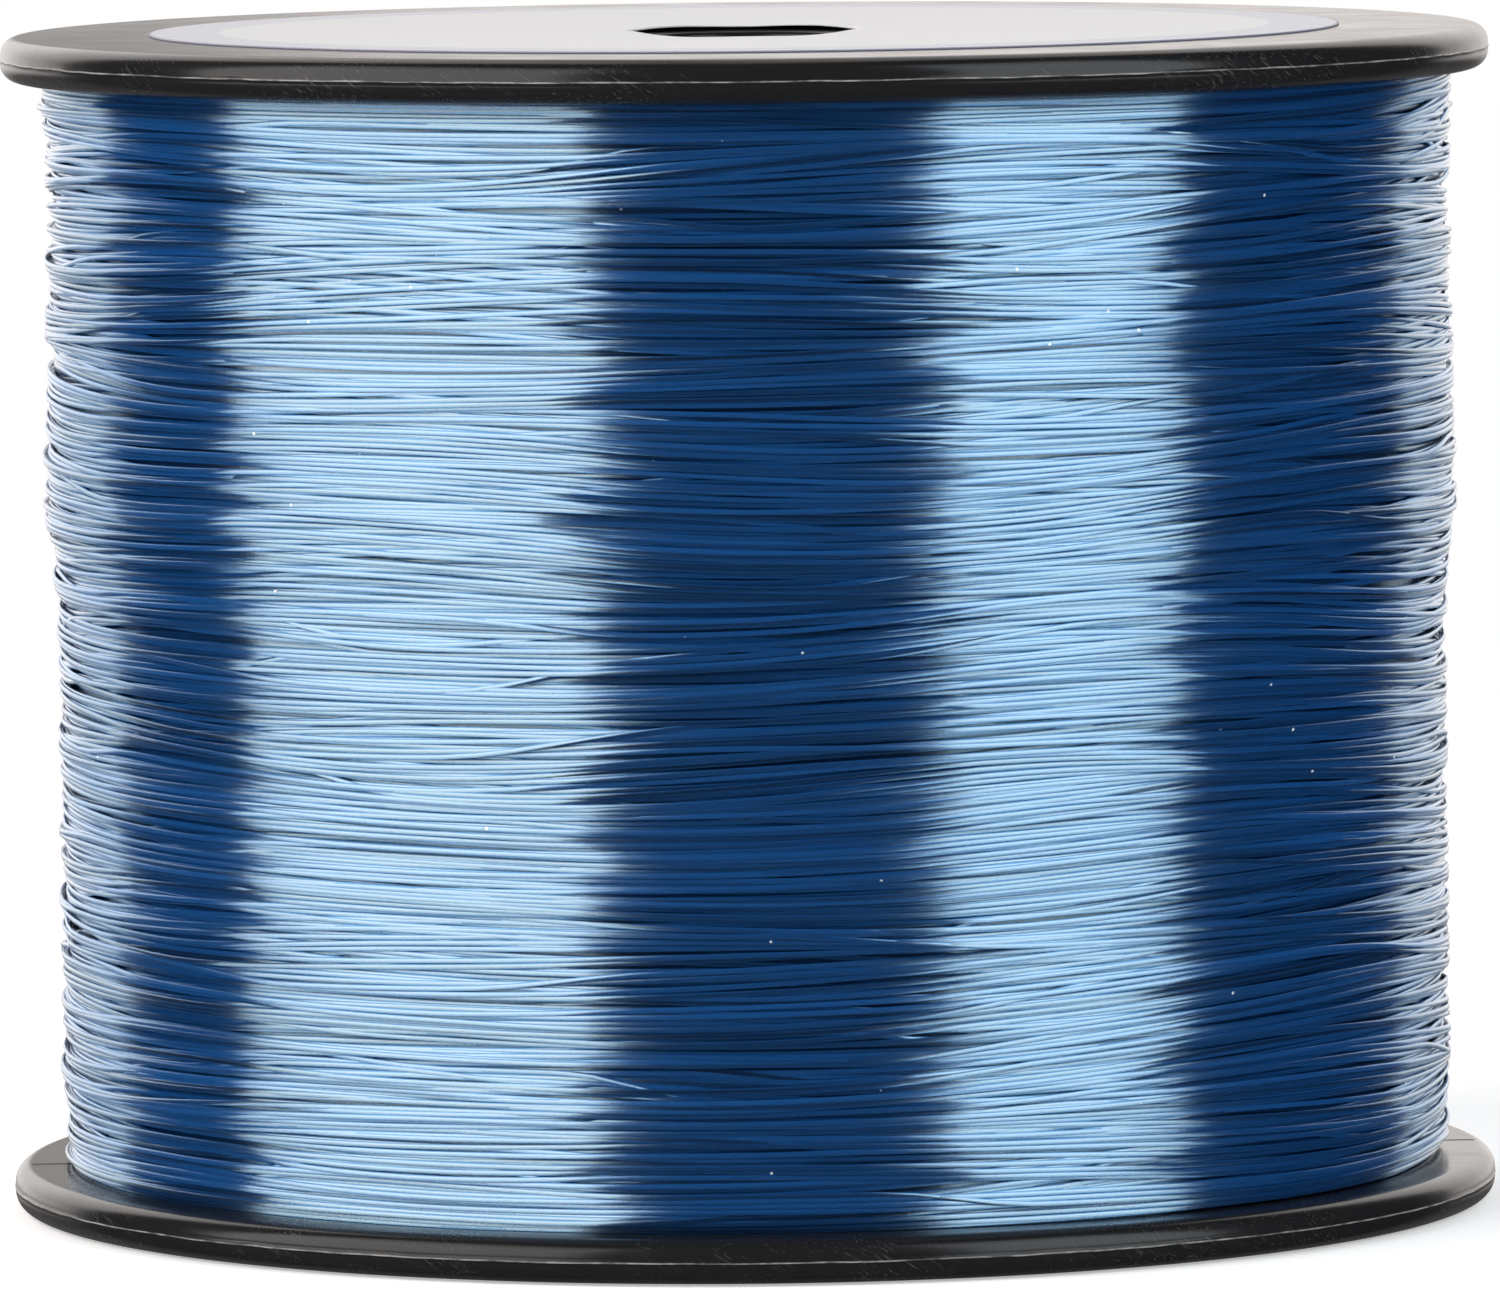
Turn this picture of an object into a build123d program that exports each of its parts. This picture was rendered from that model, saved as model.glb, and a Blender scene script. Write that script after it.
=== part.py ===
from build123d import *

import os
from math import degrees

os.makedirs("parts", exist_ok=True)

# Fishing line spool, millimetres. The arbor axis is +Z and the lower face rests on z = 0.

# spool body, one black moulding
flange_dia = 110.0  # both flanges, without the flash line
spool_height = 86.8  # outer face to outer face
flange_thk = 3.2
face_edge_r = 1.3  # rounding from each face into the rim
flash_proud = 0.1  # mould flash line round the middle of each rim
flash_width = 0.4
barrel_dia = 54.0  # drum that the line is wound on
barrel_wall = 2.4
arbor_bore_dia = 16.0  # takes a 5/8 in rod
arbor_wall = 2.2
bore_chamfer = 0.4
hub_recess = 0.4  # arbor tube and ribs stop this far inside each outer face
rib_count = 4
rib_thk = 1.6

# wound line
pack_inset_low = 3.55  # the winding stops this far inside the lower rim
pack_inset_high = 2.7  # it is fuller towards the upper flange
pack_edge_r = 0.9  # the last turns fall in against the flanges

# strip of tape that holds the line's inner end on the barrel
tape_length = 30.0  # around the barrel
tape_width = 12.0
tape_thk = 0.12
tape_clearance = 0.05

# round paper label on each outer face
label_margin = 11.0  # bare plastic between the label and the rim
label_hole_margin = 0.5  # the label's hole stands this far outside the bore
label_thk = 0.15

pick_tolerance = 0.001  # for finding edges by their radius

# worked out from the sizes above
outer_face_low = label_thk  # the lower label is what the spool stands on
outer_face_high = outer_face_low + spool_height
inner_face_low = outer_face_low + flange_thk
inner_face_high = outer_face_high - flange_thk
flange_r = flange_dia / 2
barrel_r = barrel_dia / 2
barrel_inner_r = barrel_r - barrel_wall
arbor_r = arbor_bore_dia / 2 + arbor_wall
pack_r_low = flange_r - pack_inset_low
pack_r_high = flange_r - pack_inset_high
pack_mid_z = (inner_face_low + inner_face_high) / 2
label_r = flange_r - label_margin
label_hole_r = arbor_bore_dia / 2 + label_hole_margin
tape_angle = degrees(tape_length / barrel_r)
tape_gap_angle = degrees(tape_clearance / barrel_r)


# Barrel and both flanges are one turned outline. The hub inside it is an arbor tube on radial ribs,
# open at both ends, as a moulding with one core from each end leaves it. Its ends are set back a little,
# so that nothing but the flanges' own faces and the labels on them touches a table.
with BuildPart() as spool_body:
    with BuildSketch(Plane.XZ) as body_outline:
        with BuildLine():
            Polyline(
                (barrel_inner_r, outer_face_low),
                (flange_r, outer_face_low),
                (flange_r, inner_face_low),
                (barrel_r, inner_face_low),
                (barrel_r, inner_face_high),
                (flange_r, inner_face_high),
                (flange_r, outer_face_high),
                (barrel_inner_r, outer_face_high),
                close=True,
            )
        make_face()
        rim_corners = body_outline.vertices().group_by(Axis.X)[-1]
        fillet(rim_corners, face_edge_r)
        with Locations(
            (flange_r, (outer_face_low + inner_face_low) / 2),
            (flange_r, (inner_face_high + outer_face_high) / 2),
        ):
            Rectangle(2 * flash_proud, flash_width)
    revolve(axis=Axis.Z)

    with BuildSketch(Plane.XY.offset(outer_face_low + hub_recess)):
        Circle(arbor_r)
        with PolarLocations((arbor_r + barrel_inner_r) / 2, rib_count):
            Rectangle(barrel_inner_r - arbor_r + barrel_wall, rib_thk)
        Circle(arbor_bore_dia / 2, mode=Mode.SUBTRACT)
    extrude(amount=spool_height - 2 * hub_recess)

    bore_mouths = (
        spool_body.edges()
        .filter_by(GeomType.CIRCLE)
        .filter_by(lambda edge: abs(edge.radius - arbor_bore_dia / 2) < pick_tolerance)
    )
    chamfer(bore_mouths, bore_chamfer)

spool_body.part.label = "spool_body"
export_step(spool_body.part, "parts/spool_body.step")


# Tape laid once part of the way round the barrel, half way up it.
with BuildPart() as start_tape:
    with BuildSketch(Plane.XZ):
        with Locations((barrel_r + tape_thk / 2, pack_mid_z)):
            Rectangle(tape_thk, tape_width)
    revolve(axis=Axis.Z, revolution_arc=tape_angle)

start_tape.part.label = "start_tape"
export_step(start_tape.part, "parts/start_tape.step")


# The whole winding as one closed ring between the flanges, with room inside for the tape.
with BuildPart() as line_pack:
    with BuildSketch(Plane.XZ) as pack_outline:
        with BuildLine():
            Polyline(
                (barrel_r, inner_face_low),
                (pack_r_low, inner_face_low),
                (pack_r_high, inner_face_high),
                (barrel_r, inner_face_high),
                close=True,
            )
        make_face()
        outer_corners = pack_outline.vertices().sort_by(Axis.X)[-2:]
        fillet(outer_corners, pack_edge_r)
    revolve(axis=Axis.Z)

    with BuildSketch(Plane.XZ.rotated((0, 0, -tape_gap_angle))):
        with Locations((barrel_r + tape_thk / 2, pack_mid_z)):
            Rectangle(tape_thk + 2 * tape_clearance, tape_width + 2 * tape_clearance)
    revolve(axis=Axis.Z, revolution_arc=tape_angle + 2 * tape_gap_angle, mode=Mode.SUBTRACT)

line_pack.part.label = "line_pack"
export_step(line_pack.part, "parts/line_pack.step")


# A paper disc on each outer face, with a hole that clears the bore.
with BuildPart() as lower_label:
    with BuildSketch(Plane.XY):
        Circle(label_r)
        Circle(label_hole_r, mode=Mode.SUBTRACT)
    extrude(amount=label_thk)

lower_label.part.label = "lower_label"
export_step(lower_label.part, "parts/lower_label.step")

with BuildPart() as upper_label:
    with BuildSketch(Plane.XY.offset(outer_face_high)):
        Circle(label_r)
        Circle(label_hole_r, mode=Mode.SUBTRACT)
    extrude(amount=label_thk)

upper_label.part.label = "upper_label"
export_step(upper_label.part, "parts/upper_label.step")
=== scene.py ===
from math import cos, pi, radians, sin

import bpy
import numpy as np
from mathutils import Matrix, Vector


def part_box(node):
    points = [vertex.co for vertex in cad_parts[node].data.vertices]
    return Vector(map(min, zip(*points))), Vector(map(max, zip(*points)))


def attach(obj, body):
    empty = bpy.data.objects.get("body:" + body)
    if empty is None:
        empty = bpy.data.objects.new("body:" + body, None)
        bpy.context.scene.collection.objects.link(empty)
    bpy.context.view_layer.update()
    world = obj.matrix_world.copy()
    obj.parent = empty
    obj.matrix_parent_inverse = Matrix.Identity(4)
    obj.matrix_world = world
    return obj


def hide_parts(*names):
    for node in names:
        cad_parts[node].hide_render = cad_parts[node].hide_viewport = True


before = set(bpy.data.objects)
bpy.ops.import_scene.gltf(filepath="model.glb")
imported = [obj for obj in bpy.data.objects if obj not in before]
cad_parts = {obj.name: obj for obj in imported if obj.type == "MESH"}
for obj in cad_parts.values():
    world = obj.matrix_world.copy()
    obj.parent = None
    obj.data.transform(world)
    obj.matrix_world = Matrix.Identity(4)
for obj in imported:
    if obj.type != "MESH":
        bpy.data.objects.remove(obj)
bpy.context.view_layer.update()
mm = 0.001
hair = 0.01 * mm  # too small to see, and enough to keep two surfaces apart
turn = 2 * pi


# Small tools that every piece uses

def linearColour(hexColour):
    # sRGB hex to linear: below 0.04045 divided by 12.92, above it ((c + 0.055) / 1.055) to the power 2.4
    srgb = np.array([int(hexColour[i:i + 2], 16) / 255 for i in (1, 3, 5)])
    low = srgb / 12.92
    high = ((srgb + 0.055) / 1.055) ** 2.4
    return (*np.where(srgb <= 0.04045, low, high).tolist(), 1.0)


def gridFaces(rows, columns, closedRows, closedColumns):
    # quads between neighbouring points of a grid, which face the way of (down the rows) x (along a row);
    # where rows or columns are closed, the last one is joined to the first
    r = np.arange(rows if closedRows else rows - 1)
    c = np.arange(columns if closedColumns else columns - 1)
    r, c = np.meshgrid(r, c, indexing="ij")
    rNext = (r + 1) % rows
    cNext = (c + 1) % columns
    corners = [r * columns + c, rNext * columns + c, rNext * columns + cNext, r * columns + cNext]
    return np.stack(corners, axis=-1).reshape(-1, 4)


def turnProfile(profile, angles):
    # an outline of radius and height carried round the axis: x = r cos a, y = r sin a, z unchanged
    a = angles[:, None]
    r = profile[:, 0]
    return np.stack([r * np.cos(a), r * np.sin(a), profile[:, 1] + 0 * a], axis=-1).reshape(-1, 3)


def meshPiece(name, points, faces, material, cadNode, ends=None, tones=None):
    # quads, and the triangles that close their ends if there are any, as one mesh that stands for a CAD node
    corners = faces.ravel()
    sizes = np.full(len(faces), faces.shape[1])
    if ends is not None:
        corners = np.concatenate([corners, ends.ravel()])
        sizes = np.append(sizes, np.full(len(ends), 3))
    mesh = bpy.data.meshes.new(name)
    mesh.vertices.add(len(points))
    mesh.vertices.foreach_set("co", np.asarray(points, np.float32).ravel())
    mesh.loops.add(len(corners))
    mesh.loops.foreach_set("vertex_index", corners.astype(np.int32))
    mesh.polygons.add(len(sizes))
    mesh.polygons.foreach_set("loop_start", (np.cumsum(sizes) - sizes).astype(np.int32))
    mesh.update(calc_edges=True)
    mesh.validate()
    mesh.polygons.foreach_set("use_smooth", np.ones(len(mesh.polygons), bool))
    if ends is not None:
        # the rim of an end is sharp, so that the fan doesn't bend the shading of the sides
        joined = np.empty(2 * len(mesh.edges), np.int32)
        mesh.edges.foreach_get("vertices", joined)
        mesh.edges.foreach_set("use_edge_sharp", np.isin(joined.reshape(-1, 2), ends[:, :2]).all(axis=1))
    if tones is not None:
        attribute = mesh.attributes.new("tone", "FLOAT", "POINT")
        attribute.data.foreach_set("value", np.asarray(tones, np.float32))
    piece = bpy.data.objects.new(name, mesh)
    bpy.context.scene.collection.objects.link(piece)
    mesh.materials.append(material)
    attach(piece, "root")
    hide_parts(cadNode)
    return piece


def addNode(tree, kind, settings=None, *sources, **named):
    # adds a node, sets its fields and sockets, and links sources to its sockets, in order or by socket name
    # (_6 is socket 6); a node given as a source stands for its first output
    node = tree.nodes.new(kind)
    for key, value in (settings or {}).items():
        if isinstance(key, str) and hasattr(node, key):
            setattr(node, key, value)
        else:
            node.inputs[key].default_value = value
    links = list(enumerate(sources))
    links += [(int(key[1:]) if key[0] == "_" else key, source) for key, source in named.items()]
    for key, source in links:
        output = source.outputs[0] if isinstance(source, bpy.types.Node) else source
        tree.links.new(output, node.inputs[key])
    return node


def newMaterial(name):
    material = bpy.data.materials.new(name)
    material.use_nodes = True
    tree = material.node_tree
    return material, tree, tree.nodes["Principled BSDF"]


# Settings that several nodes share

def span(begin, end, first=0.0, last=1.0, easing="LINEAR"):
    # settings of a Map Range that runs from first to last while its value goes from begin to end
    return {"From Min": begin, "From Max": end, "To Min": first, "To Max": last, "interpolation_type": easing}


def blendOf(first, last):
    # settings of a Mix of two colours
    return {"data_type": "RGBA", 6: first, 7: last}


multiply = {"operation": "MULTIPLY"}
larger = {"operation": "MAXIMUM"}


def radiusFromAxis(tree, parts):
    # distance from the spool's axis, from a position that is already in parts
    flat = addNode(tree, "ShaderNodeCombineXYZ", None, parts.outputs["X"], parts.outputs["Y"])
    return addNode(tree, "ShaderNodeVectorMath", {"operation": "LENGTH"}, flat).outputs["Value"]


def smoothNoise(rng, knots, positions, period=None):
    # random values on even knots, joined by cosine easing; positions run from 0 to knots, or wrap at period
    values = rng.uniform(-1, 1, knots + 2)
    if period:
        positions = np.mod(positions, period)
        values[period] = values[0]
    index = np.clip(np.floor(positions).astype(int), 0, knots)
    part = positions - index
    ease = (1 - np.cos(pi * np.clip(part, 0, 1))) / 2
    return values[index] * (1 - ease) + values[index + 1] * ease


# Camera: a long lens a metre away, a little above the spool

cameraSettings = {
    "distance": 1.0905,  # from the arbor axis
    "height": 0.12907,
    "pitch": radians(-4.606),
    "roll": radians(-0.581),
    "lens": 353.7,  # in millimetres, as the sensor is
    "sensor": 36,
    "reach": 20,  # it sees this many metres
}


def makeCamera(s):
    forward = Vector((0, cos(s["pitch"]), sin(s["pitch"])))
    level = Vector((1, 0, 0))
    right = cos(s["roll"]) * level + sin(s["roll"]) * level.cross(forward)
    up = right.cross(forward)
    data = bpy.data.cameras.new("camera")
    data.lens = s["lens"]
    data.sensor_width = s["sensor"]
    data.clip_end = s["reach"]
    camera = bpy.data.objects.new("camera", data)
    axes = Matrix((right, up, -forward)).transposed().to_4x4()
    camera.matrix_world = Matrix.Translation((0, -s["distance"], s["height"])) @ axes
    bpy.context.scene.collection.objects.link(camera)
    bpy.context.scene.camera = camera


makeCamera(cameraSettings)
print("camera placed")


# Studio: a white backdrop behind, a dark room in front, two tall softboxes and a pale floor.
# The backdrop and the room are laid out by the direction that looks at them: X to the right, Y back, Z up.

studio = {
    "backdrop": "#ffffff",
    "backdropLight": "#fff9f5",  # its lamps are a little warm
    # it is seen by a level direction that turns back at least this far, on the left and on the right
    "backdropEdge": (0.60, 0.68),
    "edgeTurn": 0.2,  # between this far left and this far right, one edge passes into the other
    "edgeWidth": 0.08,
    "backdropRise": (0.10, 0.35, 1.22, 1.6),  # from the first height to the second, its strength at each
    "backdropFoot": (-0.16, -0.03, 0.10),  # from the second height down to the first it fades to this share
    "backdropSides": (1.45, 1.25),  # it is lit this much harder on its left and on its right
    "sidesFrom": (0.05, 0.35),  # where that begins and where it is full
    # above the table it has a dim upright strip on its left: where it begins, is full, ends and is gone again
    "dimStrip": (-0.018, -0.042, -0.075, -0.12),
    "dimShare": 0.42,  # what is left of the light there
    "dimFoot": (0.0, 0.04),  # the strip starts between these heights
    "flagged": 0.8,  # share of the backdrop's light kept off matt surfaces, as flags keep off a real one's
    "room": "#1c1e21",
    "underTable": "#101113",
    "tableEdge": (-0.05, 0.0),  # between these heights one passes into the other
    "floor": "#f6f6f6",
    "floorGlow": 0.45,
    "floorHalf": 0.45,
    "softboxes": {
        # name: azimuth from the camera's side, distance, width, height, centre height, watts, colour
        "left softbox": (-58.2, 0.80, 1.00, 0.86, 0.42, 10.2, "#fffbf8"),
        "right softbox": (52.4, 0.80, 0.60, 0.86, 0.42, 5.75, "#f2faff"),
        # both fall off towards their tops
        "left softbox top": (-58.2, 0.80, 1.00, 0.45, 1.075, 3.4, "#fffbf8"),
        "right softbox top": (52.4, 0.80, 0.60, 0.45, 1.075, 1.9, "#f2faff"),
    },
}


def makeSurroundings(s):
    world = bpy.data.worlds.new("studio")
    bpy.context.scene.world = world
    world.use_nodes = True
    tree = world.node_tree
    tree.nodes.clear()
    direction = addNode(tree, "ShaderNodeTexCoord").outputs["Generated"]
    parts = addNode(tree, "ShaderNodeSeparateXYZ", None, direction)
    x, y, z = parts.outputs

    # where the backdrop is
    bearing = addNode(tree, "ShaderNodeMath", {"operation": "ARCTAN2"}, y, x)
    back = addNode(tree, "ShaderNodeMath", {"operation": "SINE"}, bearing)
    edge = addNode(tree, "ShaderNodeMapRange", span(-s["edgeTurn"], s["edgeTurn"], *s["backdropEdge"]), x)
    inside = addNode(tree, "ShaderNodeMath", {"operation": "SUBTRACT"}, back, edge)
    onBackdrop = addNode(tree, "ShaderNodeMapRange", span(0.0, s["edgeWidth"], easing="SMOOTHSTEP"), inside)

    # how hard it is lit
    rise = addNode(tree, "ShaderNodeMapRange", span(*s["backdropRise"]), z)
    footLow, footHigh, dimmest = s["backdropFoot"]
    foot = addNode(tree, "ShaderNodeMapRange", span(footLow, footHigh, dimmest, 1.0), z)
    begin, end = s["sidesFrom"]
    leftShare, rightShare = s["backdropSides"]
    left = addNode(tree, "ShaderNodeMapRange", span(-begin, -end, 1.0, leftShare), x)
    right = addNode(tree, "ShaderNodeMapRange", span(begin, end, 1.0, rightShare), x)
    sides = addNode(tree, "ShaderNodeMath", multiply, left, right)
    begins, full, ends, gone = s["dimStrip"]
    intoStrip = addNode(tree, "ShaderNodeMapRange", span(begins, full, 1.0, s["dimShare"]), x)
    outOfStrip = addNode(tree, "ShaderNodeMapRange", span(ends, gone, s["dimShare"], 1.0), x)
    strip = addNode(tree, "ShaderNodeMath", larger, intoStrip, outOfStrip)
    aboveTable = addNode(tree, "ShaderNodeMapRange", span(*s["dimFoot"]), z)
    dimmed = addNode(tree, "ShaderNodeMix", {"data_type": "FLOAT", 2: 1.0}, aboveTable, _3=strip)
    rays = addNode(tree, "ShaderNodeLightPath")
    lessFlagged = {"operation": "MULTIPLY_ADD", 1: -s["flagged"], 2: 1.0}
    strength = addNode(tree, "ShaderNodeMath", lessFlagged, rays.outputs["Is Diffuse Ray"])
    for factor in (rise, sides, dimmed, foot):
        strength = addNode(tree, "ShaderNodeMath", multiply, strength, factor)
    lamps = {"Color": linearColour(s["backdropLight"])}
    lit = addNode(tree, "ShaderNodeBackground", lamps, Strength=strength)

    # the dark room, and what the camera itself sees
    above = addNode(tree, "ShaderNodeMapRange", span(*s["tableEdge"]), z)
    roomColours = blendOf(linearColour(s["underTable"]), linearColour(s["room"]))
    room = addNode(tree, "ShaderNodeMix", roomColours, above)
    dark = addNode(tree, "ShaderNodeBackground", None, room.outputs[2])
    around = addNode(tree, "ShaderNodeMixShader", None, onBackdrop, dark, lit)
    behind = addNode(tree, "ShaderNodeBackground", {"Color": linearColour(s["backdrop"])})
    seen = addNode(tree, "ShaderNodeMixShader", None, rays.outputs["Is Camera Ray"], around, behind)
    addNode(tree, "ShaderNodeOutputWorld", None, seen)


def makeSoftboxes(s):
    for name, (azimuth, distance, width, height, centre, watts, colour) in s["softboxes"].items():
        data = bpy.data.lights.new(name, "AREA")
        data.shape = "RECTANGLE"
        data.size = width
        data.size_y = height
        data.energy = watts
        data.color = linearColour(colour)[:3]
        light = bpy.data.objects.new(name, data)
        a = radians(azimuth)
        place = Vector((distance * sin(a), -distance * cos(a), centre))
        aim = Vector((0, 0, centre)) - place
        light.matrix_world = Matrix.Translation(place) @ aim.to_track_quat("-Z", "Y").to_matrix().to_4x4()
        light.visible_camera = False
        bpy.context.scene.collection.objects.link(light)


def makeFloor(s):
    material, tree, shader = newMaterial("painted_floor_matt")
    shader.inputs["Base Color"].default_value = linearColour(s["floor"])
    shader.inputs["Roughness"].default_value = 0.9
    shader.inputs["Specular IOR Level"].default_value = 0.2
    shader.inputs["Emission Color"].default_value = linearColour(s["floor"])
    shader.inputs["Emission Strength"].default_value = s["floorGlow"]
    half = s["floorHalf"]
    corners = [(-half, -half, 0), (half, -half, 0), (half, half, 0), (-half, half, 0)]
    mesh = bpy.data.meshes.new("floor")
    mesh.from_pydata(corners, [], [(0, 1, 2, 3)])
    mesh.materials.append(material)
    floor = bpy.data.objects.new("floor", mesh)
    floor.visible_glossy = False
    bpy.context.scene.collection.objects.link(floor)


makeSurroundings(studio)
makeSoftboxes(studio)
makeFloor(studio)
bpy.context.scene.view_settings.view_transform = "Standard"
print("studio lit")


# Spool body: black polystyrene, turned outline and hub

bodyShape = {
    "flangeRadius": 55.0 * mm,
    "height": 86.8 * mm,
    "flange": 3.2 * mm,
    "rimRound": 1.3 * mm,
    "roundSteps": 12,
    "barrelRadius": 27.0 * mm,
    "barrelWall": 2.4 * mm,
    "boreRadius": 8.0 * mm,
    "arborWall": 2.2 * mm,
    "hubRecess": 0.4 * mm,
    "boreChamfer": 0.4 * mm,
    "ribs": 4,
    "rib": 1.6 * mm,
    "ribSeat": 0.6,  # a rib's ends stand this share deep in the walls that it joins
    "hubEdge": 0.15 * mm,  # broken edge between each outer face and the hub's opening
    "insideRadii": (53.3 * mm, 52.5 * mm, 51.0 * mm, 40.0 * mm),  # points on each inner face
    "flashProud": 0.06 * mm,
    "flashWidth": 0.16 * mm,
    "flashRagged": (0.75, 0.25),  # its height is this share of the full one, give or take the second
    "flashWander": 0.05 * mm,
    "wanderKnots": 170,  # how often round the rim it changes its way
    "raggedKnots": 260,
    "partingTurn": radians(3.5),  # the side cores met on this line through the axis
    "partingProud": 0.05 * mm,
    "partingWidth": 0.10 * mm,
    "partingSteps": (-1.2, -0.5, -0.2, 0.0, 0.2, 0.5, 1.2),  # points across its ridge, in widths
    "partingRadius": 53.0 * mm,  # where its width is measured
    "partingFrom": 45.0 * mm,  # it shows outside this radius
    "segments": 512,
    "hubSegments": 128,
}


def arcPoints(centre, radius, first, last, count):
    # points round a circle: centre plus radius times (cos, sin) of an angle that runs from first to last
    a = np.radians(np.linspace(first, last, count))
    return np.stack([centre[0] + radius * np.cos(a), centre[1] + radius * np.sin(a)], axis=1)


def flangeRim(s, low):
    # one rim from its lower face to its upper face: a round, a short flat with the flash line, a round
    r = s["flangeRadius"]
    rr = s["rimRound"]
    high = low + s["flange"]
    middle = low + s["flange"] / 2
    w = s["flashWidth"] / 2
    crest = r + s["flashProud"]
    shoulder = r + 0.75 * s["flashProud"]
    lower = arcPoints((r - rr, low + rr), rr, -90, 0, s["roundSteps"])
    half = np.array([[r, w], [shoulder, w / 3]])
    flash = np.concatenate([half * [1, -1], [[crest, 0]], half[::-1]]) + [0, middle]
    upper = arcPoints((r - rr, high - rr), rr, 0, 90, s["roundSteps"])
    return np.concatenate([lower, flash, upper])


def bodyProfile(s, base):
    # closed outline of radius and height, starting inside the barrel at its foot and running outwards
    outer = s["barrelRadius"]
    inner = outer - s["barrelWall"]
    high = base + s["height"]
    innerLow = base + s["flange"]
    innerHigh = high - s["flange"]
    edge = s["hubEdge"]
    midFace = 0.5 * (inner + s["flangeRadius"])
    lowFace = np.array([[inner, base + edge], [inner + edge, base], [midFace, base]])
    lowInside = np.array([[r, innerLow] for r in (*s["insideRadii"], outer)])
    highInside = lowInside[::-1] * [1, 0] + [0, innerHigh]
    highFace = lowFace[::-1] * [1, -1] + [0, base + high]
    low = [lowFace, flangeRim(s, base), lowInside]
    return np.concatenate(low + [highInside, flangeRim(s, innerHigh), highFace])


def partingAngles(s):
    # even steps round the axis, with a few close ones on each end of the parting line so that its ridge is
    # narrow; the ridge is a bell curve, exp(-(distance from the line / 0.4 widths) squared)
    step = turn / s["segments"]
    even = np.arange(s["segments"]) * turn / s["segments"]
    offsets = np.array(s["partingSteps"]) * s["partingWidth"] / s["partingRadius"]
    closeUp = np.concatenate([s["partingTurn"] + offsets, s["partingTurn"] + pi + offsets])
    clear = np.all(np.abs(even[:, None] - closeUp[None]) > 0.35 * step, axis=1)
    angles = np.sort(np.concatenate([even[clear], closeUp]))
    away = np.minimum(np.abs(angles - s["partingTurn"]), np.abs(angles - s["partingTurn"] - pi))
    ridge = np.exp(-(away * s["partingRadius"] / (0.4 * s["partingWidth"])) ** 2)
    return angles, ridge


def turnedBody(s, base):
    # the outline's radius and height carried round the axis: x = r cos a, y = r sin a; the parting line's
    # ridge lifts the inner faces, and the flash line's height and size wander a little with a
    profile = bodyProfile(s, base)
    angles, ridge = partingAngles(s)
    rng = np.random.default_rng(11)
    r = np.repeat(profile[None, :, 0], len(angles), axis=0)
    z = np.repeat(profile[None, :, 1], len(angles), axis=0)
    flash = r > s["flangeRadius"] + hair
    share = angles / turn
    wander = smoothNoise(rng, s["wanderKnots"], share * s["wanderKnots"], s["wanderKnots"])
    uneven = smoothNoise(rng, s["raggedKnots"], share * s["raggedKnots"], s["raggedKnots"])
    mean, spread = s["flashRagged"]
    ragged = (mean + spread * uneven)[:, None]
    r = np.where(flash, s["flangeRadius"] + (r - s["flangeRadius"]) * ragged, r)
    z = z + np.where(flash, s["flashWander"] * wander[:, None], 0)
    middle = base + s["height"] / 2
    outside = r > s["partingFrom"]
    insideLow = (z > base + s["flange"] - hair) & (z < middle) & outside
    insideHigh = (z < base + s["height"] - s["flange"] + hair) & (z > middle) & outside
    lift = s["partingProud"] * ridge[:, None]
    z = z + np.where(insideLow, lift, 0) - np.where(insideHigh, lift, 0)
    a = angles[:, None]
    points = np.stack([r * np.cos(a), r * np.sin(a), z], axis=-1)
    return points.reshape(-1, 3), gridFaces(len(angles), len(profile), True, True)


def turnedTube(inner, outer, low, high, chamfer, segments):
    # a tube with chamfered mouths and broken outer edges, carried round the axis as above
    middle = 0.5 * (inner + outer)
    edge = 0.1 * mm
    mouth = [[inner, low + chamfer], [inner + chamfer, low]]
    foot = np.array(mouth + [[middle, low], [outer - edge, low], [outer, low + edge]])
    profile = np.concatenate([foot, foot[::-1] * [1, -1] + [0, low + high]])
    angles = np.arange(segments) * turn / segments
    return turnProfile(profile, angles), gridFaces(segments, len(profile), True, True)


def ribBlock(s, angle, low, high):
    # a flat rib from inside the arbor's wall to inside the barrel's: four corners carried up its height
    r0 = s["boreRadius"] + s["ribSeat"] * s["arborWall"]
    r1 = s["barrelRadius"] - s["ribSeat"] * s["barrelWall"]
    h = s["rib"] / 2
    c, d = cos(angle), sin(angle)
    ring = np.array([[r0, -h], [r1, -h], [r1, h], [r0, h]]) @ np.array([[c, d], [-d, c]])
    points = np.concatenate([np.column_stack([ring, np.full(4, z)]) for z in (low, high)])
    sides = gridFaces(2, 4, False, True)[:, ::-1]
    caps = np.array([[3, 2, 1, 0], [4, 5, 6, 7]])
    return points, np.concatenate([sides, caps])


def joinParts(parts):
    start = 0
    allPoints = []
    allFaces = []
    for points, faces in parts:
        allPoints.append(points)
        allFaces.append(faces + start)
        start += len(points)
    return np.concatenate(allPoints), np.concatenate(allFaces)


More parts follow.
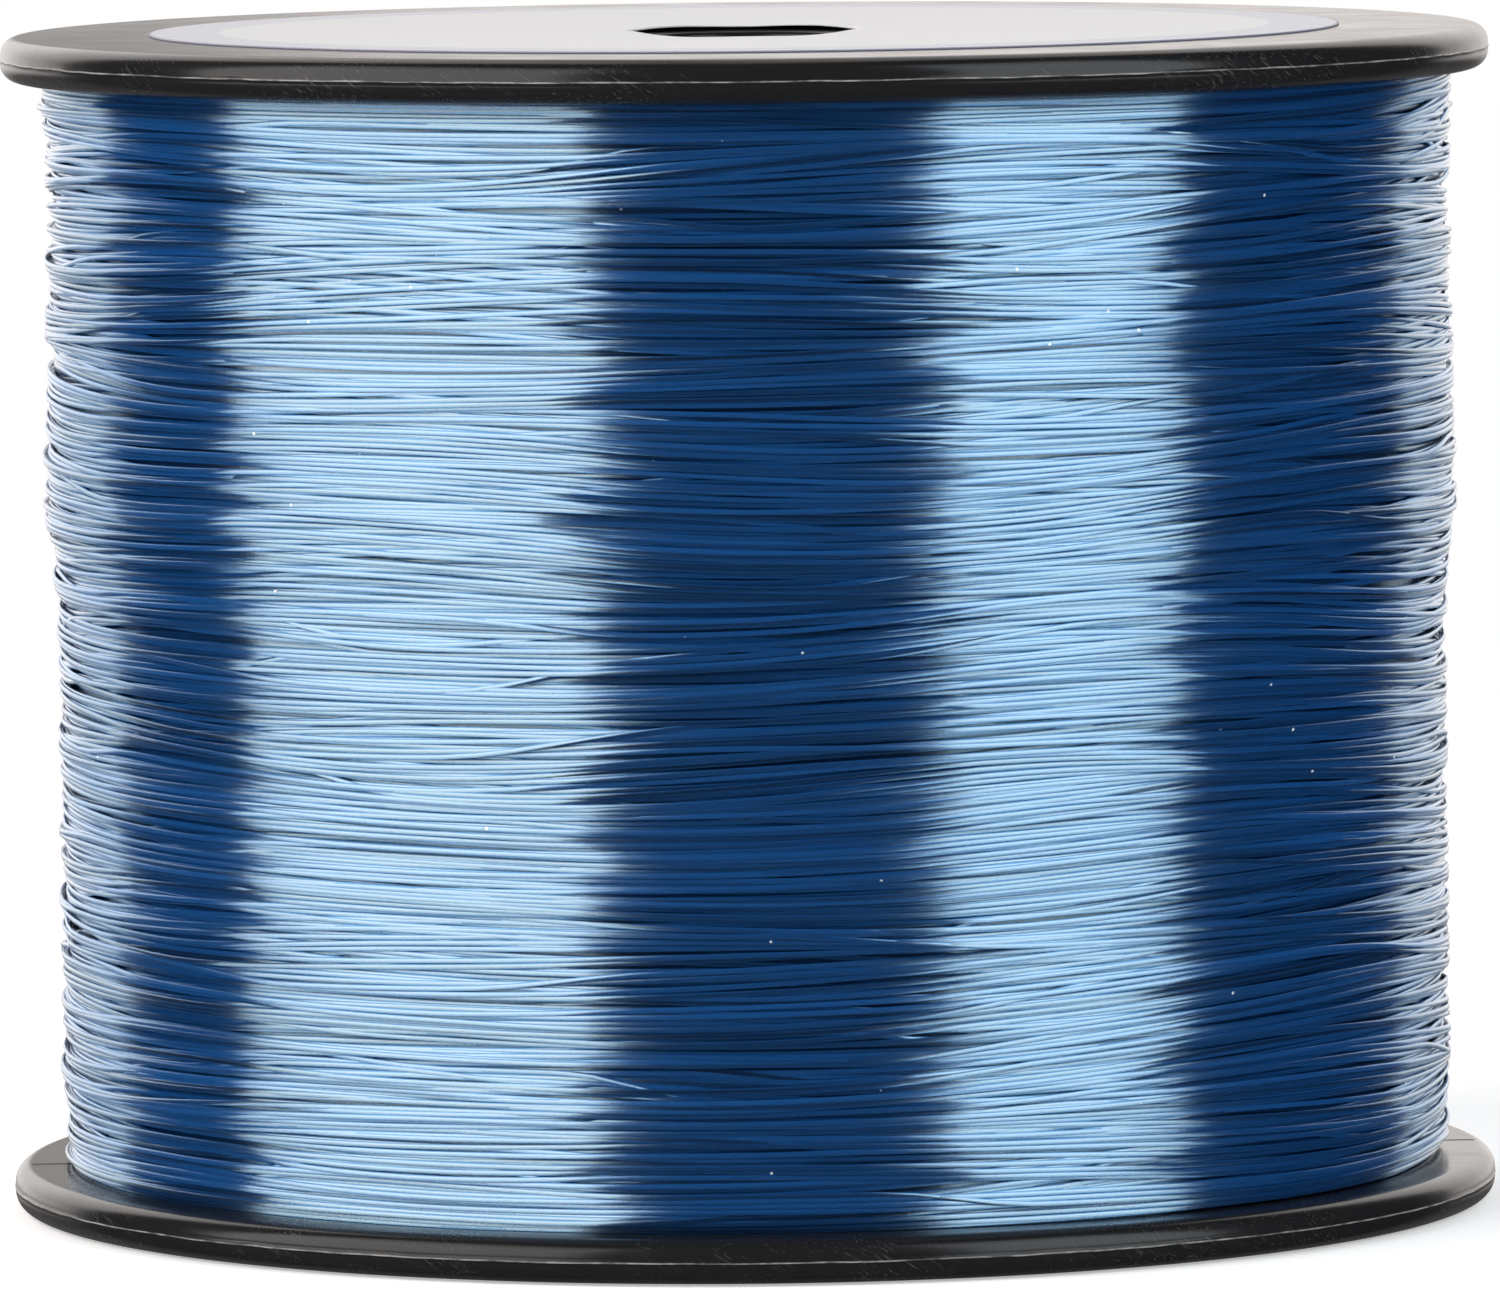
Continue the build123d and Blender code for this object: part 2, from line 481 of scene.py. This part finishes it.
def mouldedPolystyrene(s):
    # high-impact polystyrene, injection moulded in polished steel: near black all through, a clear gloss at
    # grazing angles, fine handling scratches, and pale stress marks and dust where the rims have been knocked
    material, tree, shader = newMaterial("moulded_polystyrene_black")
    shader.inputs["IOR"].default_value = 1.59
    shader.inputs["Specular IOR Level"].default_value = 0.2
    place = addNode(tree, "ShaderNodeTexCoord").outputs["Object"]
    parts = addNode(tree, "ShaderNodeSeparateXYZ", None, place)
    radius = radiusFromAxis(tree, parts)
    angle = addNode(tree, "ShaderNodeMath", {"operation": "ARCTAN2"}, parts.outputs["Y"], parts.outputs["X"])
    # the surface unrolled: angle as millimetres along the rim, height, radius
    along = addNode(tree, "ShaderNodeMath", {"operation": "MULTIPLY", 1: s["flangeRadius"]}, angle)
    unrolled = addNode(tree, "ShaderNodeCombineXYZ", None, along, parts.outputs["Z"], radius)

    def streaks(length, width, low, high, seed, slant=0.0):
        # thin marks: noise turned by slant, squeezed to length by width millimetres, kept where it passes low
        squeeze = {"operation": "MULTIPLY", 1: (1 / (length * mm), 1 / (width * mm), 1 / (width * mm))}
        slanted = {"rotation_type": "Z_AXIS", "Angle": radians(slant)}
        turned = addNode(tree, "ShaderNodeVectorRotate", slanted, unrolled)
        spread = addNode(tree, "ShaderNodeVectorMath", squeeze, turned)
        moved = addNode(tree, "ShaderNodeVectorMath", {"operation": "ADD", 1: (seed, 0, 0)}, spread)
        grain = {"Scale": 1.0, "Detail": 2.0, "Roughness": 0.6}
        noise = addNode(tree, "ShaderNodeTexNoise", grain, Vector=moved).outputs["Fac"]
        return addNode(tree, "ShaderNodeMapRange", span(low, high), noise)

    fine = streaks(2.4, 0.12, 0.60, 0.72, 3.0, slant=33.0)
    coarse = streaks(0.9, 0.10, 0.67, 0.79, 17.0, slant=-38.0)
    # where knocks fall: the rim and the outer millimetres of the faces, in patches some 12 mm long
    patches = addNode(tree, "ShaderNodeTexNoise", {"Scale": 1 / (12 * mm), "Detail": 3.0}, Vector=place)
    patch = addNode(tree, "ShaderNodeMapRange", span(0.42, 0.62), patches.outputs["Fac"])
    rim = addNode(tree, "ShaderNodeMapRange", span(46.0 * mm, 53.5 * mm), radius)
    where = addNode(tree, "ShaderNodeMath", multiply, patch, rim)
    marks = addNode(tree, "ShaderNodeMath", larger, fine, coarse)
    scuffs = addNode(tree, "ShaderNodeMath", multiply, marks, where)
    # the flash line's crest is torn white all along, more in some places than in others
    crestSpan = span(s["flangeRadius"] + 0.008 * mm, s["flangeRadius"] + 0.03 * mm)
    crest = addNode(tree, "ShaderNodeMapRange", crestSpan, radius)
    torn = streaks(1.6, 1.6, 0.35, 0.65, 41.0)
    crestShare = addNode(tree, "ShaderNodeMath", {"operation": "MULTIPLY_ADD", 1: 0.45, 2: 0.12}, torn)
    specks = addNode(tree, "ShaderNodeMath", multiply, crest, crestShare)
    faint = addNode(tree, "ShaderNodeMath", {"operation": "MULTIPLY", 1: 0.13}, scuffs)
    paleness = addNode(tree, "ShaderNodeMath", larger, faint, specks)
    blackToPale = blendOf(linearColour("#1a1a1b"), linearColour("#b9b6b2"))
    colour = addNode(tree, "ShaderNodeMix", blackToPale, paleness)
    tree.links.new(colour.outputs[2], shader.inputs["Base Color"])
    # gloss broken a little by handling, at a scale of some 8 mm, and more by the marks
    handling = {"Scale": 1 / (8 * mm), "Detail": 5.0, "Roughness": 0.65}
    clouds = addNode(tree, "ShaderNodeTexNoise", handling, Vector=place).outputs["Fac"]
    gloss = addNode(tree, "ShaderNodeMapRange", span(0.3, 0.7, 0.15, 0.24), clouds)
    worn = addNode(tree, "ShaderNodeMath", larger, scuffs, specks)
    rough = addNode(tree, "ShaderNodeMath", {"operation": "MULTIPLY_ADD", 1: 0.25}, worn, _2=gloss)
    tree.links.new(rough.outputs[0], shader.inputs["Roughness"])
    height = addNode(tree, "ShaderNodeMath", {"operation": "MULTIPLY_ADD", 1: 0.15}, marks, _2=clouds)
    bump = addNode(tree, "ShaderNodeBump", {"Strength": 0.25, "Distance": 0.03 * mm}, Height=height)
    tree.links.new(bump.outputs[0], shader.inputs["Normal"])
    return material


def makeBody(s):
    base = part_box("spool_body")[0].z
    low = base + s["hubRecess"]
    high = base + s["height"] - s["hubRecess"]
    arborOuter = s["boreRadius"] + s["arborWall"]
    parts = [turnedBody(s, base)]
    parts.append(turnedTube(s["boreRadius"], arborOuter, low, high, s["boreChamfer"], s["hubSegments"]))
    parts += [ribBlock(s, k * turn / s["ribs"], low, high) for k in range(s["ribs"])]
    points, faces = joinParts(parts)
    return meshPiece("spool_moulding", points, faces, mouldedPolystyrene(s), "spool_body")


body = makeBody(bodyShape)
print("spool body turned:", len(body.data.polygons), "faces")


# Winding: clear blue nylon laid turn by turn, each turn resting on those already there

winding = {
    "diameter": 0.43 * mm,
    "flatness": 0.62,  # pressed turns are this thick for their width
    "stations": 112,  # points round one turn
    "sides": 6,  # points round the line itself
    "layers": 3,
    "pieces": 2,  # each layer is cut in two, to keep the meshes small
    "settle": 0.30 * mm,  # how much a layer adds to the radius
    "pitch": (0.74, 1.06),  # spacing of neighbouring turns, in diameters
    # groups lean together, in 1, 2, 3... waves a turn
    "lean": [0.46 * mm, 0.46 * mm, 0.36 * mm, 0.26 * mm, 0.17 * mm],
    "leanKnots": 6,  # how often the lean changes between the flanges
    "calm": 3 * mm,  # nearer to a flange than this, turns lean and stray less and less
    "wander": 0.26 * mm,  # each turn by itself
    "wanderKnots": 15,  # changes of direction in one turn
    "waviness": 0.05 * mm,  # the line keeps a slight curl from its making
    "waveKnots": 50,
    "strays": 0.75,  # share of turns that leave their neighbours for a while
    "strayReach": (0.3 * mm, 1.4 * mm),
    "strayHalf": (0.05, 0.32),  # half of how long they are away, in turns
    "strayRamp": (0.03, 0.09),  # how long the crossing over takes, in turns
    "sag": 0.85,  # a turn sinks this far into the groove between two others
    "touch": 0.97,  # two turns rest on each other when they are nearer than this, in diameters
    "stiffness": 0.035 * mm,  # how far a free span dips between two stations
    "levelCells": (30, 32),  # the traverse fills hollows wider than one of these, in height and round
    "tuck": (0.06, 0.9 * mm),  # a layer's ends dive under: over this share of a turn, this deep
    "proud": 0.26 * mm,  # no turn stands further out than this over its neighbours' mean
    "offset": 0.15 * mm,  # the pack stands this much further out on the side of +x
    # how far out the winding stands at these heights above the lower flange's inner face, in millimetres
    "heights": [0.0, 0.8, 6, 24, 40, 44, 48, 53, 60, 70, 74, 76.6, 79.3, 80.4],
    "radii": [50.8, 51.3, 51.5, 51.45, 51.4, 51.65, 52.3, 52.25, 52.0, 51.9, 51.8, 52.4, 52.3, 51.65],
    "toneKnots": 3,  # how often a turn's depth of blue changes
    "lowerTone": 0.3,
    "lowerSegments": 256,
    "seed": 5,
}


def sharedLean(rng, s, height, theta):
    # how the turns lean together: the sum over k of size k times sin(k theta + phase k), where both drift
    # with height
    knots = s["leanKnots"]
    shift = np.zeros_like(height)
    for k, amount in enumerate(s["lean"], start=1):
        phase = turn * smoothNoise(rng, knots, height * knots)
        size = amount * (1 + 0.5 * smoothNoise(rng, knots, height * knots))
        shift += size * np.sin(k * theta + phase)
    return shift


def pullTight(s, rest, passes=6):
    # a line under tension lifts clear of the dips between high spots: the larger of where it would rest
    # and the mean of the two points beside it, less its own dip, taken a few times over
    tight = rest
    for _ in range(passes):
        tight = np.maximum(rest, 0.5 * (np.roll(tight, 1) + np.roll(tight, -1)) - s["stiffness"])
    return 0.25 * np.roll(tight, 1) + 0.5 * tight + 0.25 * np.roll(tight, -1)


def levelOut(s, z, r, low, high, target):
    # the mean height of the turns over the target, cell by cell, is taken away again: each cell is blurred
    # with its neighbours, and a point takes the value between the cells round it
    rows, columns = s["levelCells"]
    up = (z - low) / (high - low) * (rows - 1)
    around = np.tile(np.arange(z.shape[1]) * columns / z.shape[1], (len(z), 1))
    row = np.clip(up.astype(int), 0, rows - 2)
    column = around.astype(int)
    upShare = up - row
    aroundShare = around - column
    total = np.zeros((rows, columns))
    count = np.full((rows, columns), 1e-6)  # never quite nothing, so that an empty cell divides
    cells = []
    for i in (0, 1):
        for j in (0, 1):
            weight = (upShare if i else 1 - upShare) * (aroundShare if j else 1 - aroundShare)
            cells.append((row + i, (column + j) % columns, weight))
    for cellRow, cellColumn, weight in cells:
        np.add.at(total, (cellRow, cellColumn), weight * (r - target))
        np.add.at(count, (cellRow, cellColumn), weight)
    over = total / count
    over = (np.roll(over, 1, axis=1) + 2 * over + np.roll(over, -1, axis=1)) / 4
    return r - sum(weight * over[cellRow, cellColumn] for cellRow, cellColumn, weight in cells)


def turnHeights(s, rng, low, high, layer):
    # height at the start of each turn of a traverse: even but for the pitch, up in one layer, down in another
    d = s["diameter"]
    steps = d * rng.uniform(*s["pitch"], int((high - low) / (0.5 * sum(s["pitch"]) * d)))
    heights = np.cumsum(steps)
    heights = low + d / 2 + (heights - heights[0]) * (high - low - d) / (heights[-1] - heights[0])
    return heights[::-1] if layer % 2 else heights


def strayAway(s, rng, along, turns):
    # how far stray turns leave their place: each crosses over to another height, runs there and crosses back,
    # eased as (1 - cos) at both ends; the first and last turns keep their place
    shift = np.zeros_like(along)
    for _ in range(int(turns * s["strays"])):
        half = rng.uniform(*s["strayHalf"])
        ramp = rng.uniform(*s["strayRamp"])
        centre = rng.uniform(2, turns - 3)
        reach = rng.choice([-1, 1]) * rng.uniform(*s["strayReach"])
        part = np.clip((half - np.abs(along - centre)) / min(ramp, half), 0, 1)
        shift = shift + reach * (1 - np.cos(pi * part)) / 2
    return shift


def layTurns(s, rng, low, high, layer, laid, aim):
    # one traverse from flange to flange. Height climbs evenly with the turn count, then leans, wanders and
    # strays; radius is the least that clears the turns beneath: the largest of their r + sqrt(d^2 - dz^2)
    d = s["diameter"]
    m = s["stations"]
    heights = turnHeights(s, rng, low, high, layer)
    turns = len(heights)
    along = np.arange(turns * m) / m
    theta = np.mod(along, 1) * turn
    z = np.interp(along, np.arange(turns), heights)
    calm = np.clip(np.minimum(z - low, high - z) / s["calm"], 0, 1)
    z = z + calm * sharedLean(rng, s, np.clip((z - low) / (high - low), 0, 1), theta)
    z = z + calm * s["wander"] * smoothNoise(rng, turns * s["wanderKnots"], along * s["wanderKnots"])
    z = z + calm * strayAway(s, rng, along, turns)
    z = np.clip(z, low + d / 2, high - d / 2).reshape(turns, m)
    waves = s["waviness"] * smoothNoise(rng, turns * s["waveKnots"], along * s["waveKnots"])
    leastR = np.interp(z, *aim) - s["settle"]
    r = np.empty_like(z)
    for k in range(turns):
        rest = leastR[k]
        if laid["z"]:
            gap = np.array(laid["z"]) - z[k]
            lift = s["sag"] * s["flatness"] * np.sqrt(np.clip(d * d - gap * gap, 0, None))
            over = np.where(np.abs(gap) < s["touch"] * d, np.array(laid["r"]) + lift, 0)
            rest = np.maximum(rest, over.max(axis=0))
        r[k] = pullTight(s, rest)
        laid["z"].append(z[k])
        laid["r"].append(r[k])
    target = np.interp(z, *aim) + s["offset"] * np.cos(theta).reshape(turns, m)
    r = np.minimum(levelOut(s, z, r, low, high, target), target + s["proud"]) + waves.reshape(turns, m)
    laid["z"] = list(z)
    laid["r"] = list(r)
    share, depth = s["tuck"]
    fromEnd = np.minimum(along, along[-1] - along)
    tuck = depth * (1 + np.cos(pi * np.clip(fromEnd / share, 0, 1))) / 2
    return theta, z.ravel(), r.ravel() - tuck


def lineTube(s, theta, z, r):
    # a flattened tube on the path (r cos theta, r sin theta, z): its section is the ellipse (flatness x
    # radius x cos b, radius x sin b) across the path, and a fan round a middle point closes each end
    sides = s["sides"]
    b = np.arange(sides) * turn / sides
    radius = s["diameter"] / 2
    away = r[:, None] + s["flatness"] * radius * np.cos(b)
    up = z[:, None] + radius * np.sin(b)
    rings = np.stack([away * np.cos(theta)[:, None], away * np.sin(theta)[:, None], up], axis=-1)
    points = rings.reshape(-1, 3)
    tips = rings[[0, -1]].mean(axis=1)
    edge = np.arange(sides)
    after = np.roll(edge, -1)
    last = len(points) - sides
    tip = np.full(sides, len(points))
    first = np.stack([edge, after, tip], axis=1)
    final = np.stack([after + last, edge + last, tip + 1], axis=1)
    faces = gridFaces(len(theta), sides, False, True)
    return np.concatenate([points, tips]), faces, np.concatenate([first, final])


def drawnNylon():
    # monofilament: nylon drawn through a die, dyed blue and clear. The die leaves it smooth lengthwise, and
    # light that enters comes back out spread across the strand only, so a lamp makes one broad pale band with
    # crisp ends on it; the tint of that band is the dye's, and away from the lamps the line is a deep blue.
    # Nylon's own IOR is the coat's, and the higher one stands for what a clear strand's far side sends back
    material, tree, shader = newMaterial("drawn_nylon_blue")
    shader.inputs["IOR"].default_value = 2.4
    shader.inputs["Roughness"].default_value = 0.27
    shader.inputs["Anisotropic"].default_value = 1.0
    shader.inputs["Anisotropic Rotation"].default_value = 0.25
    shader.inputs["Specular IOR Level"].default_value = 1.0
    shader.inputs["Specular Tint"].default_value = (0.48, 0.77, 0.96, 1.0)
    shader.inputs["Coat Weight"].default_value = 0.7
    shader.inputs["Coat Roughness"].default_value = 0.16
    shader.inputs["Coat IOR"].default_value = 1.53
    lengthwise = addNode(tree, "ShaderNodeTangent", {"direction_type": "RADIAL", "axis": "Z"})
    tree.links.new(lengthwise.outputs[0], shader.inputs["Tangent"])
    # being clear, it shades flatter across than a solid rod: the upright part of its normal is made smaller,
    # and all of it is tilted up a little, which keeps the lower flanks from going black
    surface = addNode(tree, "ShaderNodeNewGeometry")
    flatten = {"operation": "MULTIPLY_ADD", 1: (1, 1, 0.25), 2: (0, 0, 0.19)}
    flatter = addNode(tree, "ShaderNodeVectorMath", flatten, surface.outputs["Normal"])
    unit = addNode(tree, "ShaderNodeVectorMath", {"operation": "NORMALIZE"}, flatter)
    tree.links.new(unit.outputs[0], shader.inputs["Normal"])
    # light that comes out of a strand's flanks, in the grooves, has gone through more dye
    upright = addNode(tree, "ShaderNodeSeparateXYZ", None, surface.outputs["Normal"])
    steep = addNode(tree, "ShaderNodeMath", {"operation": "ABSOLUTE"}, upright.outputs["Z"])
    flank = addNode(tree, "ShaderNodeMapRange", span(0.40, 0.85, easing="SMOOTHSTEP"), steep)
    glow = addNode(tree, "ShaderNodeMix", blendOf((0.52, 0.75, 0.89, 1.0), (0.26, 0.57, 0.93, 1.0)), flank)
    tree.links.new(glow.outputs[2], shader.inputs["Specular Tint"])
    tone = addNode(tree, "ShaderNodeAttribute", {"attribute_name": "tone"}).outputs["Fac"]
    colour = addNode(tree, "ShaderNodeMix", blendOf(linearColour("#011835"), linearColour("#0a4885")), tone)
    # the flanks' base colour is also lifted towards a brighter blue, up to 0.6 of the way: painted light in
    # the shaded grooves between strands
    groove = addNode(tree, "ShaderNodeMath", {"operation": "MULTIPLY", 1: 0.6}, flank)
    grooveLightColour = {"data_type": "RGBA", 7: linearColour("#1c538f")}
    grooveLightened = addNode(tree, "ShaderNodeMix", grooveLightColour, groove, _6=colour.outputs[2])
    # a few grains of white dust, a fifth of a millimetre across, at most one in each 4.5 mm
    place = addNode(tree, "ShaderNodeTexCoord").outputs["Object"]
    grains = addNode(tree, "ShaderNodeTexVoronoi", {"Scale": 1 / (4.5 * mm)}, Vector=place)
    grain = addNode(tree, "ShaderNodeMapRange", span(0.03, 0.022), grains.outputs["Distance"])
    dust = {"data_type": "RGBA", 7: linearColour("#f2f4f6")}
    dusty = addNode(tree, "ShaderNodeMix", dust, grain, _6=grooveLightened.outputs[2])
    tree.links.new(dusty.outputs[2], shader.inputs["Base Color"])
    return material


def makeWinding(s):
    rng = np.random.default_rng(s["seed"])
    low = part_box("spool_body")[0].z + bodyShape["flange"]
    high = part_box("spool_body")[1].z - bodyShape["flange"]
    aimZ = low + np.array(s["heights"]) * mm
    outside = np.array(s["radii"]) * mm
    nylon = drawnNylon()
    laid = {"z": [], "r": []}
    for layer in range(s["layers"]):
        aimR = outside - s["diameter"] / 2 - (s["layers"] - 1 - layer) * s["settle"]
        theta, z, r = layTurns(s, rng, low, high, layer, laid, (aimZ, aimR))
        # each turn's own depth of blue, easing along it
        turns = len(theta) // s["stations"]
        knots = s["toneKnots"]
        tones = 0.5 + 0.5 * smoothNoise(rng, turns * knots, np.arange(len(theta)) * knots / s["stations"])
        cuts = np.linspace(0, turns, s["pieces"] + 1).astype(int) * s["stations"]
        for k in range(s["pieces"]):
            part = slice(cuts[k], min(cuts[k + 1] + 1, len(theta)))
            points, faces, ends = lineTube(s, theta[part], z[part], r[part])
            shade = np.append(np.repeat(tones[part], s["sides"]), tones[part][[0, -1]])
            name = f"line_layer_{layer + 1}_part_{k + 1}"
            meshPiece(name, points, faces, nylon, "line_pack", ends=ends, tones=shade)
        outer = (r + s["flatness"] * s["diameter"] / 2) / mm
        mean = outer.mean().round(2)
        most = outer.max().round(2)
        print("layer", layer + 1, "laid:", turns, "turns, outer radius", mean, "mm, at most", most)
    # the turns below are never seen one by one: a plain ring of the same line fills the drum up to them
    drum = bodyShape["barrelRadius"]
    ringR = outside - s["diameter"] - s["layers"] * s["settle"]
    profile = np.concatenate([[[drum, low]], np.stack([ringR, aimZ], axis=1), [[drum, high]]])
    points = turnProfile(profile, np.arange(s["lowerSegments"]) * turn / s["lowerSegments"])
    faces = gridFaces(s["lowerSegments"], len(profile), True, True)
    shade = np.full(len(points), s["lowerTone"])
    meshPiece("line_lower_turns", points, faces, nylon, "line_pack", tones=shade)


makeWinding(winding)
print("line wound")


# Labels: a round of coated paper on each outer face

labelShape = {
    "radius": 44.0 * mm,
    "thickness": 0.15 * mm,
    "hole": 8.5 * mm,
    "border": 5.2 * mm,  # width of the printed ring
    "line": 0.18 * mm,  # width of the printed line outside it
    "hub": 24.0 * mm,  # over the hub's opening, inside this radius, the paper bends
    "dip": 0.21 * mm,  # it sinks this far at the hole
    # and waves round it: how many waves, their height and where the first one starts
    "waves": [(1, 0.12 * mm, pi), (2, 0.06 * mm, -pi / 2), (3, 0.02 * mm, 0.6), (5, 0.05 * mm, 0.0)],
    "ripple": 0.02 * mm,  # between the hole and the hub's wall it ripples by this much
    "rippleWaves": (2, 3, 5),
    "paper": "#e1e1e3",
    "ring": "#d3d4dc",
    # this grey-lilac is both the printed edge line and painted shade on the paper's cut edge
    "inkAndEdgeShade": "#9a9aab",
    "innerRings": (25.0 * mm, 34),  # points across the paper as far as this radius, and how many
    "outerRings": (26.0 * mm, 24),  # and from this one on
    "segments": 384,
}


def labelSurface(s, faceZ, side, seed):
    # height over radius and angle: flat on the flange, then over the hub a dip that eases in as (1 - cos) and
    # wanders round the hole as a sum of sines; the back is the same surface a sheet's thickness lower
    rng = np.random.default_rng(seed)
    innerEnd, innerCount = s["innerRings"]
    outerStart, outerCount = s["outerRings"]
    overHub = np.linspace(s["hole"], innerEnd, innerCount)
    onFlange = np.linspace(outerStart, s["radius"] - 3 * hair, outerCount)
    r = np.concatenate([overHub, onFlange, [s["radius"]]])
    a = np.arange(s["segments"]) * turn / s["segments"]
    inward = np.clip((s["hub"] - r) / (s["hub"] - s["hole"]), 0, 1)[None, :]
    wave = s["dip"] + sum(size * np.sin(k * a + start) for k, size, start in s["waves"])
    sink = wave[:, None] * (1 - np.cos(pi * inward)) / 2
    rippling = sum(np.sin(k * a + rng.uniform(0, turn)) for k in s["rippleWaves"])
    ripple = s["ripple"] * rippling[:, None] * np.sin(pi * inward)
    front = faceZ + side * (s["thickness"] - hair - sink + np.minimum(ripple, 0))
    back = front - side * (s["thickness"] - 2 * hair)
    x = r[None, :] * np.cos(a)[:, None]
    y = r[None, :] * np.sin(a)[:, None]
    # front from the hole outwards, then the back inwards, closed into one ring
    backwards = np.stack([x, y, back], axis=-1)[:, ::-1]
    points = np.concatenate([np.stack([x, y, front], axis=-1), backwards], axis=1)
    faces = gridFaces(s["segments"], 2 * len(r), True, True)
    if side > 0:
        faces = faces[:, ::-1]
    return points.reshape(-1, 3), faces


def coatedPaper(s):
    # clay-coated label paper, offset printed: near white, smooth but not shiny, with a very fine unevenness
    material, tree, shader = newMaterial("coated_paper_printed")
    shader.inputs["IOR"].default_value = 1.5
    shader.inputs["Roughness"].default_value = 0.5
    shader.inputs["Specular IOR Level"].default_value = 0.2
    place = addNode(tree, "ShaderNodeTexCoord").outputs["Object"]
    parts = addNode(tree, "ShaderNodeSeparateXYZ", None, place)
    radius = radiusFromAxis(tree, parts)
    # the print by radius: plain paper, a pale ring, and a thin line of ink at the very edge; the same
    # grey-lilac also covers the paper's cut edge, as painted shade on it
    across = addNode(tree, "ShaderNodeMapRange", span(0.0, s["radius"]), radius)
    printed = addNode(tree, "ShaderNodeValToRGB", None, across)
    ramp = printed.color_ramp
    ramp.interpolation = "CONSTANT"
    ramp.elements[0].color = linearColour(s["paper"])
    ramp.elements[1].position = 1.0
    ramp.elements[1].color = linearColour(s["inkAndEdgeShade"])
    for start, colour in [(s["radius"] - s["border"], s["ring"]), (s["radius"] - s["line"], s["inkAndEdgeShade"])]:
        stop = ramp.elements.new(start / s["radius"])
        stop.color = linearColour(colour)
    tree.links.new(printed.outputs[0], shader.inputs["Base Color"])
    fibre = addNode(tree, "ShaderNodeTexNoise", {"Scale": 1 / (0.5 * mm), "Detail": 4.0}, Vector=place)
    rise = {"Strength": 0.15, "Distance": 0.01 * mm}
    bump = addNode(tree, "ShaderNodeBump", rise, Height=fibre.outputs["Fac"])
    tree.links.new(bump.outputs[0], shader.inputs["Normal"])
    return material


def makeLabels(s):
    low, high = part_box("spool_body")
    paper = coatedPaper(s)
    points, faces = labelSurface(s, high.z, 1, 3)
    meshPiece("label_upper_paper", points, faces, paper, "upper_label")
    points, faces = labelSurface(s, low.z, -1, 8)
    meshPiece("label_lower_paper", points, faces, paper, "lower_label")


makeLabels(labelShape)
print("labels laid")


# Start tape: the CAD strip keeps its shape and gets its film

def filmTape():
    # polypropylene packing tape: a yellowish clear film with a soft gloss and the adhesive's faint mottle
    material, tree, shader = newMaterial("adhesive_film_tape")
    shader.inputs["IOR"].default_value = 1.49
    shader.inputs["Roughness"].default_value = 0.25
    place = addNode(tree, "ShaderNodeTexCoord").outputs["Object"]
    mottle = addNode(tree, "ShaderNodeTexNoise", {"Scale": 1 / (1.5 * mm), "Detail": 3.0}, Vector=place)
    filmColours = blendOf(linearColour("#b9a06a"), linearColour("#d8c79a"))
    colour = addNode(tree, "ShaderNodeMix", filmColours, mottle.outputs["Fac"])
    tree.links.new(colour.outputs[2], shader.inputs["Base Color"])
    return material


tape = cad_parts["start_tape"]
tape.data.materials.clear()
tape.data.materials.append(filmTape())
print("tape finished")
